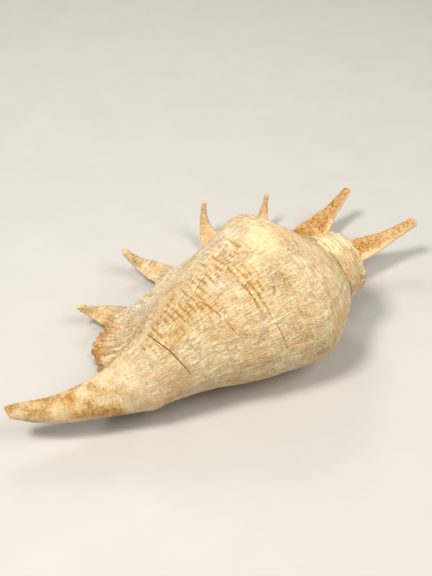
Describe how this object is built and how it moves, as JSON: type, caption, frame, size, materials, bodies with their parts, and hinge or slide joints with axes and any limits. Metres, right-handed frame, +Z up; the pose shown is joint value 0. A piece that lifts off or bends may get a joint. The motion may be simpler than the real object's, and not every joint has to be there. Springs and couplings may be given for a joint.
{
  "type": "spider conch shell",
  "caption": "Large bleached sea snail shell with a wide flared lip edged with long fingers, a low spire and a siphonal canal, lying on its opening.",
  "frame": {"origin": "middle of the bounding box's footprint, on the surface the shell lies on", "axes": "+X along the shell towards the spire, +Y from the body towards the lip, +Z up, the back of the shell on top"},
  "size_m": [0.2968, 0.168, 0.0898],
  "materials": {
    "shell": "bleached and slightly worn shell, cream to tan with orange-brown dashes, satin, smoother and paler underneath"
  },
  "bodies": {
    "root": {"shell": "shell"}
  },
  "joints": []
}
